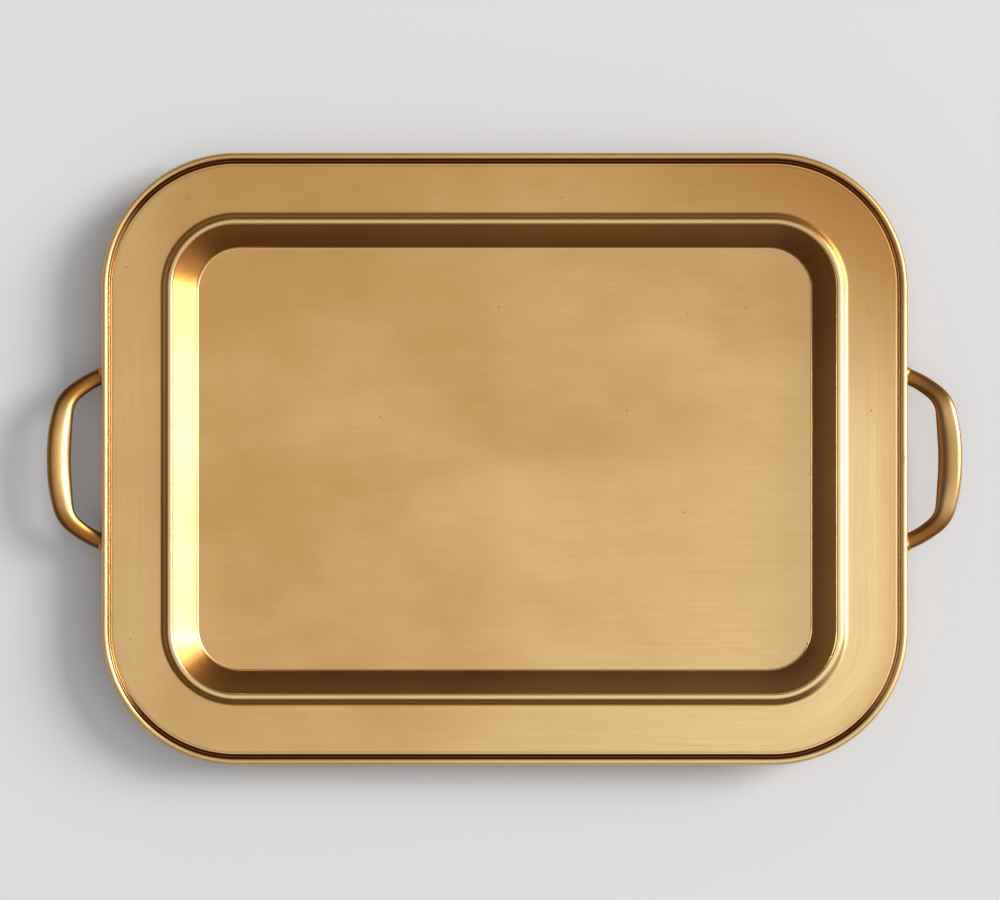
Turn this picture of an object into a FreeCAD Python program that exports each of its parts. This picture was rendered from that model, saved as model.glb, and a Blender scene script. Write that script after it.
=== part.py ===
"""Brass serving tray with a deep well, a wide flange, a wired edge and two cast handles.

The pan is one sheet of brass: flat floor, sloping wall, raised crest, flat flange, groove and
an edge that is rolled round a wire. Each handle is a cast bar whose two legs pass under the
rolled edge and end in lugs, which are brazed to the underside of the flange.

X runs along the tray through both handles, Y across it, Z up. The origin lies under the middle
of the floor, in the plane that the tray stands on. Sizes are millimetres and degrees.
"""

import FreeCAD, Part
import math
import os

import Sketcher
from FreeCAD import Placement, Rotation, Vector

DIMENSIONS = [
    # alias, value, meaning
    ("trayLength", 540.0, "length over the rolled edge"),
    ("trayWidth", 410.0, "width over the rolled edge"),
    ("cornerRadius", 90.5, "plan radius of the rolled edge at each corner"),
    ("sheetGauge", 1.0, "thickness of the brass sheet"),
    ("wellDepth", 35.0, "floor to crest"),
    ("floorInset", 62.6, "rolled edge to the line where the flat floor ends"),
    ("floorFillet", 2.0, "radius where floor turns into wall"),
    ("crestInset", 46.5, "rolled edge to the crest"),
    ("crestRise", 2.5, "crest above the flange"),
    ("crestInner", 2.0, "radius on the well side of the crest"),
    ("crestOuter", 6.5, "radius on the flange side of the crest"),
    ("coveRadius", 5.5, "radius where the crest runs out into the flange"),
    ("edgeInset", 8.1, "rolled edge to the end of the flat flange"),
    ("edgeRadius", 1.3, "rounding of the flange into the groove"),
    ("grooveInset", 5.6, "rolled edge to the middle of the groove"),
    ("grooveRadius", 0.7, "radius in the bottom of the groove"),
    ("beadRadius", 2.5, "outside radius of the rolled edge"),
    ("beadRise", 0.4, "top of the rolled edge above the flange"),
    ("curlEnd", 28.0, "angle below level at which the curl stops, on its inner side"),
    ("wireSlack", 0.03, "gap between wire and curl"),
    ("legSpan", 111.8, "distance between the two legs where they pass the rolled edge"),
    ("legHeading", 21.0, "turn of a leg towards the middle where it passes the rolled edge"),
    ("legRadius", 60.0, "plan radius of a leg"),
    ("bendHeading", 42.0, "turn of a leg where the bend starts"),
    ("bendRadius", 22.0, "plan radius of the bend"),
    ("gripHeading", 80.0, "turn of the bar where the grip starts"),
    ("legWidth", 10.8, "width of the bar at the rolled edge"),
    ("legThickness", 6.4, "thickness of the bar at the rolled edge"),
    ("gripWidth", 16.4, "width of the bar in the middle of the grip"),
    ("gripThickness", 9.0, "thickness of the bar in the middle of the grip"),
    ("gripHalf", 12.0, "half of the stretch where the grip has its full width"),
    ("handleTilt", 17.0, "rise of the handle above level"),
    ("tiltStart", 12.0, "length over which the legs turn up into that rise"),
    ("legGap", 0.4, "leg below the rolled edge"),
    ("lugInset", 9.6, "rolled edge to a lug"),
    ("lugLength", 17.0, "length of a lug along X"),
    ("lugWidth", 15.0, "width of a lug along Y"),
    ("lugDrop", 1.0, "underside of a lug below the underside of its leg"),
    ("lugCorner", 4.0, "plan radius of a lug's corners"),
    ("lugRounding", 1.5, "radius round the lower edge of a lug"),
    ("brazeFilm", 0.15, "thickness of the brazed film"),
    ("brazeSkirt", 1.2, "width and height of the braze fillet round a lug"),
    ("saddleInside", -5.2, "start of the braze saddle on a leg, beyond the rolled edge"),
    ("saddleMiddle", -1.9, "its fullest point"),
    ("saddleOutside", 1.2, "its end"),
    ("saddleRim", 1.3, "growth of the leg's width and thickness at the fullest point"),
    ("saddleEnd", 0.3, "the same growth at both ends"),
    ("saddleLift", 0.3, "share of that growth by which the saddle sits above the leg's middle"),
]

doc = FreeCAD.newDocument("BrassTray")
sheet = doc.addObject("Spreadsheet::Sheet", "Dimensions")
for row, (alias, value, meaning) in enumerate(DIMENSIONS, start=1):
    sheet.set(f"A{row}", alias)
    sheet.set(f"B{row}", str(value))
    sheet.set(f"C{row}", meaning)
    sheet.setAlias(f"B{row}", alias)
doc.recompute()


def size(alias):
    """The value of a cell, in millimetres or degrees."""
    return float(sheet.get(alias))


def crest_height():
    return size("sheetGauge") + size("wellDepth")


def flange_height():
    return crest_height() - size("crestRise")


def bead_height():
    """Height of the middle of the rolled edge."""
    return flange_height() + size("beadRise") - size("beadRadius")


# The same heights, and two more sizes, as formulas that a constraint or a length is bound to.
CREST_HEIGHT = "(sheetGauge + wellDepth)"
FLANGE_HEIGHT = "(sheetGauge + wellDepth - crestRise)"
BEAD_HEIGHT = f"({FLANGE_HEIGHT} + beadRise - beadRadius)"
# From the underside of the flange, less the film, down to the underside of a lug.
LUG_HEIGHT = "2 * beadRadius - beadRise + legGap + legThickness + lugDrop - sheetGauge - brazeFilm"
# From the middle of the tray's width to the middle of a lug.
LUG_SIDE = "(legSpan / 2 + (lugInset + lugLength / 2) * tan(legHeading))"
# The fillet round a lug widens upwards by this angle, in degrees.
SKIRT_TAPER = -45


def bound(text):
    """The formula with every alias written as a reference to its cell."""
    words = []
    word = ""
    for letter in text + " ":
        if letter.isalnum() or letter in "._":
            word += letter
            continue
        is_alias = any(word == alias for alias, _, _ in DIMENSIONS)
        words.append(f"Dimensions.{word}" if is_alias else word)
        words.append(letter)
        word = ""
    return "".join(words).strip()


def drive(sketch, kind, references, value, text):
    """A dimension of the sketch that starts at value and is bound to the formula text."""
    index = sketch.addConstraint(Sketcher.Constraint(kind, *references, value))
    sketch.setExpression(f"Constraints[{index}]", bound(text))


def new_body(label):
    body = doc.addObject("PartDesign::Body", label)
    body.Label = label
    return body


def new_sketch(body, name, role="XY_Plane", offset=None):
    """A sketch on one of the body's own origin planes, moved by offset."""
    sketch = body.newObject("Sketcher::SketchObject", name)
    plane = next(feature for feature in body.Origin.OriginFeatures if feature.Role == role)
    sketch.AttachmentSupport = (plane, [""])
    sketch.MapMode = "FlatFace"
    if offset is not None:
        sketch.AttachmentOffset = offset
    return sketch


ORIGIN = (-1, 1)      # sketch references: the origin point and the vertical axis
START, END, CENTRE = 1, 2, 3


def rounded_rectangle(sketch, length, width, radius, texts, centre=(0.0, 0.0), centre_texts=None):
    """Four sides and four tangent corners. It starts in the middle of the side at +X."""
    cx, cy = centre
    x, y = length / 2, width / 2
    right, top = x - radius, y - radius
    points = [(x, 0), (x, top), (right, y), (-right, y), (-x, top), (-x, -top),
              (-right, -y), (right, -y), (x, -top), (x, 0)]
    corners = [(right, top), (-right, top), (-right, -top), (right, -top)]
    ids = []
    for step in range(len(points) - 1):
        first, last = points[step], points[step + 1]
        if step % 2 == 0:
            edge = Part.LineSegment(Vector(first[0] + cx, first[1] + cy),
                                    Vector(last[0] + cx, last[1] + cy))
        else:
            corner = corners[step // 2]
            middle = Vector(corner[0] + cx, corner[1] + cy)
            turn = math.pi / 2 * (step // 2)
            edge = Part.ArcOfCircle(Part.Circle(middle, Vector(0, 0, 1), radius),
                                    turn, turn + math.pi / 2)
        ids.append(sketch.addGeometry(edge))
    for this, following in zip(ids, ids[1:]):
        sketch.addConstraint(Sketcher.Constraint("Tangent", this, END, following, START))
    # The side at +X is two lines in one: the vertex between them is where a sweep starts.
    sketch.addConstraint(Sketcher.Constraint("Coincident", ids[-1], END, ids[0], START))
    for side in (ids[0], ids[4], ids[-1]):
        sketch.addConstraint(Sketcher.Constraint("Vertical", side))
    for side in (ids[2], ids[6]):
        sketch.addConstraint(Sketcher.Constraint("Horizontal", side))
    for corner in (ids[3], ids[5], ids[7]):
        sketch.addConstraint(Sketcher.Constraint("Equal", ids[1], corner))
    length_text, width_text, radius_text = texts
    drive(sketch, "Radius", (ids[1],), radius, radius_text)
    drive(sketch, "DistanceX", (ids[4], START, ids[0], START), length, length_text)
    drive(sketch, "DistanceY", (ids[6], START, ids[2], START), width, width_text)
    x_text, y_text = centre_texts or ("0", "0")
    drive(sketch, "DistanceX", (*ORIGIN, ids[0], START), x + cx, f"{x_text} + ({length_text}) / 2")
    drive(sketch, "DistanceY", (*ORIGIN, ids[2], START), y + cy, f"{y_text} + ({width_text}) / 2")
    drive(sketch, "DistanceY", (*ORIGIN, ids[0], START), cy, y_text)
    return ids


def normal(heading):
    """The unit vector to the left of a heading, which is given in degrees."""
    angle = math.radians(heading + 90)
    return Vector(math.cos(angle), math.sin(angle))


def heading_between(first, last, radii_sum, turn):
    """Heading of the straight stretch between two opposite bends, the first turning by turn."""
    gap = last - first
    straight = math.sqrt(gap.Length ** 2 - radii_sum ** 2)
    return math.degrees(math.atan2(gap.y, gap.x) + turn * math.atan2(radii_sum, straight))


def section_bends():
    """The bends of the pan's section from the floor outwards, as they lie on the upper side.

    Each is a centre, a radius, which way it turns (1 left, -1 right), and its two headings.
    """
    edge = size("trayLength") / 2
    floor = Vector(edge - size("floorInset"), size("sheetGauge") + size("floorFillet"))
    inner = Vector(edge - size("crestInset"), crest_height() - size("crestInner"))
    outer = Vector(inner.x, crest_height() - size("crestOuter"))
    cove_height = flange_height() + size("coveRadius")
    ridge = size("crestOuter") + size("coveRadius")
    cove_run = math.sqrt(ridge ** 2 - (cove_height - outer.y) ** 2)
    cove = Vector(outer.x + cove_run, cove_height)
    lip = Vector(edge - size("edgeInset"), flange_height() - size("edgeRadius"))
    bead = Vector(edge - size("beadRadius"), bead_height())
    reach = size("beadRadius") + size("grooveRadius")
    groove_run = size("grooveInset") - size("beadRadius")
    groove = Vector(edge - size("grooveInset"), bead.y + math.sqrt(reach ** 2 - groove_run ** 2))

    wall = heading_between(floor, inner, size("floorFillet") + size("crestInner"), 1)
    flank = -math.degrees(math.atan2(cove_run, cove_height - outer.y))
    slope = heading_between(lip, groove, size("edgeRadius") + size("grooveRadius"), -1)
    rise = math.degrees(math.atan2(groove_run, groove.y - bead.y))
    curl = size("curlEnd") - 270
    return [
        (floor, size("floorFillet"), 1, 0, wall),
        (inner, size("crestInner"), -1, wall, 0),
        (outer, size("crestOuter"), -1, 0, flank),
        (cove, size("coveRadius"), 1, flank, 0),
        (lip, size("edgeRadius"), -1, 0, slope),
        (groove, size("grooveRadius"), 1, slope, rise),
        (bead, size("beadRadius"), -1, rise, curl),
    ]


# Which bends of the section are followed by a straight stretch: wall, flange and groove side.
STRAIGHT_AFTER = (0, 3, 4)
# Which bends touch the bend before them, and so take their radius below the sheet from that.
TOUCHING = (2, 3, 5)
# The place of the flange among the bends and straight stretches of one side.
FLANGE = 5


def draw_side(sketch, bends, depth):
    """One side of the section, at depth below the upper side. Returns the ids of its bends."""
    chain = []
    arcs = []
    for number, (centre, radius, turn, heading_in, heading_out) in enumerate(bends):
        reach = radius + turn * depth
        first, last = heading_in - turn * 90, heading_out - turn * 90
        if turn < 0:
            first, last = last, first
        circle = Part.Circle(centre, Vector(0, 0, 1), reach)
        arc = sketch.addGeometry(Part.ArcOfCircle(circle, math.radians(first), math.radians(last)))
        arcs.append(arc)
        chain.append((arc, START, END) if turn > 0 else (arc, END, START))
        if number in STRAIGHT_AFTER:
            following, next_radius, next_turn, _, _ = bends[number + 1]
            next_reach = next_radius + next_turn * depth
            line = Part.LineSegment(centre - normal(heading_out) * turn * reach,
                                    following - normal(heading_out) * next_turn * next_reach)
            chain.append((sketch.addGeometry(line), START, END))
    for (this, _, leave), (following, enter, _) in zip(chain, chain[1:]):
        sketch.addConstraint(Sketcher.Constraint("Tangent", this, leave, following, enter))
    return arcs, chain


def draw_pan_section(sketch):
    """The section of the pan through the middle of its right end: X outwards, Y up."""
    bends = section_bends()
    upper, upper_chain = draw_side(sketch, bends, 0)
    lower, _ = draw_side(sketch, bends, size("sheetGauge"))
    floor, inner, outer, cove, lip, groove, bead = upper

    names = ("floorFillet", "crestInner", "crestOuter", "coveRadius", "edgeRadius",
             "grooveRadius", "beadRadius")
    for arc, name in zip(upper, names):
        drive(sketch, "Radius", (arc,), size(name), name)
    for number, arc in enumerate(lower):
        sketch.addConstraint(Sketcher.Constraint("Coincident", arc, CENTRE, upper[number], CENTRE))
        if number in TOUCHING:
            continue
        turn = bends[number][2]
        sign = "+" if turn > 0 else "-"
        drive(sketch, "Radius", (arc,), bends[number][1] + turn * size("sheetGauge"),
              f"{names[number]} {sign} sheetGauge")

    places = (
        (floor, "floorInset", "sheetGauge + floorFillet"),
        (inner, "crestInset", f"{CREST_HEIGHT} - crestInner"),
        (lip, "edgeInset", f"{FLANGE_HEIGHT} - edgeRadius"),
        (bead, "beadRadius", BEAD_HEIGHT),
    )
    for arc, inset, height in places:
        centre = bends[upper.index(arc)][0]
        drive(sketch, "DistanceX", (*ORIGIN, arc, CENTRE), centre.x, f"trayLength / 2 - {inset}")
        drive(sketch, "DistanceY", (*ORIGIN, arc, CENTRE), centre.y, height)
    for arc, inset in ((outer, "crestInset"), (groove, "grooveInset")):
        centre = bends[upper.index(arc)][0]
        drive(sketch, "DistanceX", (*ORIGIN, arc, CENTRE), centre.x, f"trayLength / 2 - {inset}")
    flange = upper_chain[FLANGE][0]
    sketch.addConstraint(Sketcher.Constraint("Horizontal", flange))

    for arc in (upper[0], lower[0]):
        sketch.addConstraint(Sketcher.Constraint("Vertical", arc, CENTRE, arc, START))
    cut_start = sketch.addGeometry(Part.LineSegment(
        sketch.getPoint(lower[0], START), sketch.getPoint(upper[0], START)))
    cut_end = sketch.addGeometry(Part.LineSegment(
        sketch.getPoint(upper[-1], START), sketch.getPoint(lower[-1], START)))
    joins = ((cut_start, START, lower[0], START), (cut_start, END, upper[0], START),
             (cut_end, START, upper[-1], START), (cut_end, END, lower[-1], START))
    for join in joins:
        sketch.addConstraint(Sketcher.Constraint("Coincident", *join))
    sketch.addConstraint(Sketcher.Constraint("PointOnObject", bead, CENTRE, cut_end))
    drive(sketch, "Angle", (cut_end,), math.radians(size("curlEnd")), "curlEnd * 1 deg")


def make_pan():
    """The brass sheet: the formed rim swept round the tray, and the flat floor inside it."""
    body = new_body("tray_pan")
    path = new_sketch(body, "RimPath")
    edge_sizes = (size("trayLength"), size("trayWidth"), size("cornerRadius"))
    rounded_rectangle(path, *edge_sizes, ("trayLength", "trayWidth", "cornerRadius"))
    section = new_sketch(body, "RimSection", "XZ_Plane")
    draw_pan_section(section)
    doc.recompute()
    rim = body.newObject("PartDesign::AdditivePipe", "Rim")
    rim.Profile = section
    rim.Spine = path
    rim.Mode = "Frenet"
    doc.recompute()

    outline = new_sketch(body, "FloorOutline")
    inset = size("floorInset")
    rounded_rectangle(
        outline, edge_sizes[0] - 2 * inset, edge_sizes[1] - 2 * inset, edge_sizes[2] - inset,
        ("trayLength - 2 * floorInset", "trayWidth - 2 * floorInset",
         "cornerRadius - floorInset"))
    floor = body.newObject("PartDesign::Pad", "Floor")
    floor.Profile = outline
    floor.setExpression("Length", bound("sheetGauge"))
    body.Tip = floor
    return body


def make_wire():
    """The wire inside the rolled edge."""
    body = new_body("rim_wire")
    path = new_sketch(body, "WirePath")
    rounded_rectangle(path, size("trayLength"), size("trayWidth"), size("cornerRadius"),
                      ("trayLength", "trayWidth", "cornerRadius"))
    section = new_sketch(body, "WireSection", "XZ_Plane")
    radius = size("beadRadius") - size("sheetGauge") - size("wireSlack")
    centre = Vector(size("trayLength") / 2 - size("beadRadius"), bead_height())
    circle = section.addGeometry(Part.Circle(centre, Vector(0, 0, 1), radius))
    drive(section, "Radius", (circle,), radius, "beadRadius - sheetGauge - wireSlack")
    drive(section, "DistanceX", (*ORIGIN, circle, CENTRE), centre.x, "trayLength / 2 - beadRadius")
    drive(section, "DistanceY", (*ORIGIN, circle, CENTRE), centre.y, BEAD_HEIGHT)
    doc.recompute()
    wire = body.newObject("PartDesign::AdditivePipe", "Wire")
    wire.Profile = section
    wire.Spine = path
    wire.Mode = "Frenet"
    body.Tip = wire
    return body


def leg_height():
    """Height of the middle of a leg where it passes under the rolled edge."""
    return bead_height() - size("beadRadius") - size("legGap") - size("legThickness") / 2


def bar_stations():
    """Plan points along half of the bar, from inside a lug to the middle of the grip.

    Each is the distance beyond the rolled edge, the distance from the middle, and the heading.
    """
    radius = {"leg": size("legRadius"), "bend": size("bendRadius")}
    headings = [size("legHeading"), size("bendHeading"), size("gripHeading"), 90.0]
    inside = -(size("lugInset") + size("lugLength") / 4)
    out, side = 0.0, size("legSpan") / 2
    slope = math.tan(math.radians(headings[0]))
    stations = [(inside, side - inside * slope, headings[0]),
                (inside / 2, side - inside / 2 * slope, headings[0]),
                (out, side, headings[0])]
    steps = {"leg": 3, "bend": 4, "grip": 4}
    for stretch, first, last in zip(steps, headings, headings[1:]):
        # The grip's radius is what brings the bar to its middle with a heading of 90 degrees.
        bend = radius.get(stretch) or side / math.cos(math.radians(first))
        for step in range(1, steps[stretch] + 1):
            before = math.radians(first + (last - first) * (step - 1) / steps[stretch])
            after = math.radians(first + (last - first) * step / steps[stretch])
            out += bend * (math.sin(after) - math.sin(before))
            side -= bend * (math.cos(before) - math.cos(after))
            stations.append((out, side, math.degrees(after)))
    return stations


def bar_rise(out):
    """Height of the bar above its legs: it turns up gently, then rises straight."""
    slope = math.tan(math.radians(size("handleTilt")))
    start = size("tiltStart")
    if out <= 0:
        return 0.0
    if out < start:
        return slope * out * out / (2 * start)
    return slope * (out - start / 2)


def oval_section(body, name, station, share, margin_text="0"):
    """An upright oval across the bar: a leg's where share is 0, the grip's where it is 1.

    The cell that margin_text names is added to both its axes and lifts it a little.
    """
    margin = size(margin_text) if margin_text != "0" else 0.0
    out, side, heading = station
    roll = size("handleTilt") * math.sin(math.radians(heading)) * share
    across = Rotation(Vector(0, 0, 1), 270 - heading).multiply(Rotation(Vector(1, 0, 0), 90))
    tip = Rotation(Vector(0, 1, 0), -roll)
    height = leg_height() + bar_rise(out) + margin * size("saddleLift")
    spot = Vector(size("trayLength") / 2 + out, side, height)
    sketch = new_sketch(body, name, offset=Placement(spot, tip.multiply(across)))
    width = size("legWidth") + (size("gripWidth") - size("legWidth")) * share + margin
    thickness = (size("legThickness") + margin
                 + (size("gripThickness") - size("legThickness")) * share)
    oval = sketch.addGeometry(Part.Ellipse(Vector(0, 0), width / 2, thickness / 2))
    sketch.exposeInternalGeometry(oval)
    long_axis, short_axis = oval + 1, oval + 2
    sketch.addConstraint(Sketcher.Constraint("Coincident", oval, CENTRE, *ORIGIN))
    sketch.addConstraint(Sketcher.Constraint("Horizontal", long_axis))
    drive(sketch, "Distance", (long_axis,), width,
          f"legWidth + (gripWidth - legWidth) * {share} + {margin_text}")
    drive(sketch, "Distance", (short_axis,), thickness,
          f"legThickness + (gripThickness - legThickness) * {share} + {margin_text}")
    return sketch


def make_handle(label):
    """A cast handle at the right end: an oval bar that ends in two lugs under the flange."""
    body = new_body(label)
    top = flange_height() - size("sheetGauge") - size("brazeFilm")
    lug = add_lug(body, "Lug", top, f"{FLANGE_HEIGHT} - sheetGauge - brazeFilm")
    lug.setExpression("Length", bound(LUG_HEIGHT))
    doc.recompute()
    rounding = body.newObject("PartDesign::Fillet", "LugRounding")
    bottom = leg_height() - size("legThickness") / 2 - size("lugDrop")
    low = [f"Edge{number}" for number, edge in enumerate(lug.Shape.Edges, start=1)
           if abs(edge.BoundBox.ZMin - bottom) < 1e-3 and edge.BoundBox.ZLength < 1e-3]
    rounding.Base = (lug, low)
    rounding.setExpression("Radius", bound("lugRounding"))
    doc.recompute()

    half = bar_stations()
    other_half = [(out, -side, 180 - heading) for out, side, heading in reversed(half[:-1])]
    legs_end = size("legSpan") / 2
    swelling = legs_end - size("gripHalf")
    sections = []
    for number, (out, side, heading) in enumerate(half + other_half):
        share = min(1.0, max(0.0, (legs_end - abs(side)) / swelling))
        share = round(share * share * (3 - 2 * share), 4)
        sections.append(oval_section(body, f"BarSection{number}", (out, side, heading), share))
    doc.recompute()
    bar = body.newObject("PartDesign::AdditiveLoft", "Bar")
    bar.Profile = sections[0]
    bar.Sections = sections[1:]
    bar.Ruled = False
    doc.recompute()
    body.Tip = bar
    return body


def lug_centre():
    """Plan centre of the lug on the +Y side of the right handle."""
    inset = size("lugInset") + size("lugLength") / 2
    side = size("legSpan") / 2 + inset * math.tan(math.radians(size("legHeading")))
    return size("trayLength") / 2 - inset, side


def add_lug(body, name, top, top_text, margin_text="0"):
    """Two pads that hang down from the height top, larger than a lug by a margin all round."""
    margin = size(margin_text) if margin_text != "0" else 0.0
    x, y = lug_centre()
    sketch = new_sketch(body, f"{name}Outline", offset=Placement(Vector(0, 0, top), Rotation()))
    sketch.setExpression("AttachmentOffset.Base.z", bound(top_text))
    for side in (1, -1):
        rounded_rectangle(
            sketch, size("lugLength") + 2 * margin, size("lugWidth") + 2 * margin,
            size("lugCorner") + margin,
            (f"lugLength + 2 * {margin_text}", f"lugWidth + 2 * {margin_text}",
             f"lugCorner + {margin_text}"),
            centre=(x, side * y),
            centre_texts=("trayLength / 2 - lugInset - lugLength / 2", f"{side} * {LUG_SIDE}"))
    pad = body.newObject("PartDesign::Pad", name)
    pad.Profile = sketch
    pad.Reversed = True
    return pad


def make_braze(label, handle, pan, turned):
    """The braze metal of one handle.

    Each lug has a film on top and a fillet round it, and each leg a saddle that fills the gap
    to the rolled edge above it.
    """
    body = new_body(f"{label}_blank")
    top = flange_height() - size("sheetGauge")
    skirt = add_lug(body, "Skirt", top, f"{FLANGE_HEIGHT} - sheetGauge", "brazeSkirt")
    skirt.setExpression("Length", bound("brazeSkirt"))
    skirt.TaperAngle = SKIRT_TAPER
    doc.recompute()

    heading = size("legHeading")
    slope = math.tan(math.radians(heading))
    for side in (1, -1):
        sections = []
        for number, alias in enumerate(("saddleInside", "saddleMiddle", "saddleOutside")):
            out = size(alias)
            station = (out, side * (size("legSpan") / 2 - out * slope),
                       heading if side > 0 else 180 - heading)
            growth = "saddleRim" if alias == "saddleMiddle" else "saddleEnd"
            sections.append(oval_section(body, f"SaddleSection{number}", station, 0.0, growth))
        doc.recompute()
        saddle = body.newObject("PartDesign::AdditiveLoft", "Saddle")
        saddle.Profile = sections[0]
        saddle.Sections = sections[1:]
        body.Tip = saddle
    finish_part(body, turned)

    blank = body
    for tool in (handle, pan):
        cut = doc.addObject("Part::Cut", f"{label}_less_{tool.Label}")
        cut.Base = blank
        cut.Tool = tool
        blank = cut
    blank.Label = label
    return blank


def finish_part(body, turned=False):
    """Gives a sub-part its place: the pieces of the left handle are turned half round."""
    body.Placement = Placement(Vector(0, 0, 0), Rotation(Vector(0, 0, 1), 180 if turned else 0))
    return body


pan = finish_part(make_pan())
wire = finish_part(make_wire())
right_handle = finish_part(make_handle("right_handle"))
left_handle = finish_part(make_handle("left_handle"), turned=True)
right_braze = make_braze("right_handle_braze", right_handle, pan, turned=False)
left_braze = make_braze("left_handle_braze", left_handle, pan, turned=True)
parts = [pan, wire, right_handle, left_handle, right_braze, left_braze]
doc.recompute()

for item in doc.Objects:
    if "Invalid" in item.State or "Error" in item.State:
        raise RuntimeError(f"{item.Label} failed: {item.State}")
for part in parts:
    if part.Shape.isNull() or not part.Shape.isValid():
        raise RuntimeError(f"{part.Label} has no valid shape")

os.makedirs("parts", exist_ok=True)
for part in parts:
    part.Shape.exportStep(f"parts/{part.Label}.step")
    print(f"{part.Label}: {len(part.Shape.Solids)} solids, {part.Shape.Volume / 1000:.2f} cm3")
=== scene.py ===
# Brass serving tray: a pressed pan with a wired edge, and two cast handles brazed under its rim.
import math
import bmesh
import bpy
from mathutils import Matrix, Vector, noise


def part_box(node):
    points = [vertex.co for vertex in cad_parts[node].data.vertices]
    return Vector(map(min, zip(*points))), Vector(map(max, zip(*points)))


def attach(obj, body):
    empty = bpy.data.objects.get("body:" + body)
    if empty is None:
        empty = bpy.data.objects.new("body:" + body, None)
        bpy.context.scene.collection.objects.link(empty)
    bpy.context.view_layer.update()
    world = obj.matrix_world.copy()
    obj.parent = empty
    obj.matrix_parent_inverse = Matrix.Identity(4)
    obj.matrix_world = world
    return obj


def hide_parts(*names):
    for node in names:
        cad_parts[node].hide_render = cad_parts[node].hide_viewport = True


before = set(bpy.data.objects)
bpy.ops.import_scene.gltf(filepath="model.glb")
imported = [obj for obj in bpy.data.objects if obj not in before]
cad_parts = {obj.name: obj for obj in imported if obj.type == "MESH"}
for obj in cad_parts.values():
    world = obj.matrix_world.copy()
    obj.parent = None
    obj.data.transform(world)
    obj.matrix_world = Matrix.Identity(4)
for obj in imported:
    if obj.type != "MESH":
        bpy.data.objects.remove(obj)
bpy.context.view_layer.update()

mm = 0.001
sameSpot = 0.01      # millimetres within which two heights or distances count as one
weldGap = 0.001
panLow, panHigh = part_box("tray_pan")


class Value:
    # wraps a socket, so that sums and products of masks can be written as they are read
    def __init__(self, graph, socket):
        self.graph = graph
        self.socket = socket

    def math(self, operation, first, second):
        return self.graph.add("ShaderNodeMath", {"operation": operation}, [first, second])

    def __add__(self, other):
        return self.math("ADD", self, other)

    def __radd__(self, other):
        return self.math("ADD", other, self)

    def __sub__(self, other):
        return self.math("SUBTRACT", self, other)

    def __rsub__(self, other):
        return self.math("SUBTRACT", other, self)

    def __mul__(self, other):
        return self.math("MULTIPLY", self, other)

    def __rmul__(self, other):
        return self.math("MULTIPLY", other, self)


class Graph:
    # adds nodes to one node tree
    def __init__(self, tree):
        self.nodes = tree.nodes
        self.links = tree.links

    def feed(self, socket, value):
        if isinstance(value, Value):
            self.links.new(value.socket, socket)
        else:
            socket.default_value = value

    def add(self, kind, settings=None, inputs=(), output=0):
        node = self.nodes.new(kind)
        for name, setting in (settings or {}).items():
            setattr(node, name, setting)
        pairs = inputs.items() if isinstance(inputs, dict) else enumerate(inputs)
        for name, value in pairs:
            self.feed(node.inputs[name], value)
        return Value(self, node.outputs[output])

    def attribute(self, name, output="Fac"):
        return self.add("ShaderNodeAttribute", {"attribute_name": name}, output=output)

    def split(self, vector):
        first = self.add("ShaderNodeSeparateXYZ", inputs=[vector])
        return [Value(self, socket) for socket in first.socket.node.outputs]

    def vector(self, x, y, z):
        return self.add("ShaderNodeCombineXYZ", inputs=[x, y, z])

    def noise(self, vector, detail=2.0, rough=0.5, scale=1.0):
        return self.add("ShaderNodeTexNoise", inputs={
            "Vector": vector, "Scale": scale, "Detail": detail, "Roughness": rough})

    def ramp(self, value, low, high, start=0.0, end=1.0):
        return self.add("ShaderNodeMapRange", {"interpolation_type": "SMOOTHSTEP"},
                        [value, low, high, start, end])

    def band(self, value, low, high, soft):
        return self.ramp(value, low - soft, low) * self.ramp(value, high, high + soft, 1.0, 0.0)

    def mix(self, share, first, second):
        return self.add("ShaderNodeMix", {"data_type": "RGBA"},
                        {0: share, 6: first, 7: second}, output=2)

    def bump(self, height, distance, strength=1.0):
        return self.add("ShaderNodeBump", inputs={
            "Strength": strength, "Distance": distance, "Height": height})


class Finish(Graph):
    # one material with a Principled surface
    def __init__(self, name):
        self.material = bpy.data.materials.new(name)
        self.material.use_nodes = True
        super().__init__(self.material.node_tree)
        self.place = self.add("ShaderNodeTexCoord", output="Object")
        self.x, self.y, self.z = self.split(self.place)

    def surface(self, **sockets):
        inputs = self.nodes["Principled BSDF"].inputs
        for name, value in sockets.items():
            self.feed(inputs[name.replace("_", " ")], value)
        return self.material


panShape = {                    # millimetres; the outside size comes from the frame
    "cornerRadius": 90.5,
    "gauge": 1.0,
    "wellDepth": 35.0,
    "floorInset": 62.6,
    "floorFillet": 2.0,
    "crestInset": 46.5,
    "crestRise": 2.5,
    "crestInner": 2.0,
    "crestOuter": 6.5,
    "cove": 5.5,
    "lipInset": 8.1,
    "lip": 1.3,
    "grooveInset": 5.6,
    "groove": 0.7,
    "bead": 2.5,
    "beadRise": 0.4,
    "curlEnd": 28.0,            # degrees
    "ripple": 0.16,             # how far the hand-finished sheet wanders
    "rippleLength": 120.0,
    "cornerSteps": 30,
    "sideSteps": 26,
}
bendSteps = {"fillet": 7, "crestInner": 12, "crestOuter": 8, "cove": 6, "lip": 7, "groove": 7, "bead": 26}
straightSteps = {"crestInner": 12, "lip": 12, "groove": 2}    # straight runs that lead into a bend


def leftOf(heading):
    angle = math.radians(heading + 90)
    return Vector((math.cos(angle), 0, math.sin(angle)))


def straightHeading(first, last, radii, turn):
    gap = last - first
    run = math.sqrt(gap.length ** 2 - radii ** 2)
    return math.degrees(math.atan2(gap.z, gap.x) + turn * math.atan2(radii, run))


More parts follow.
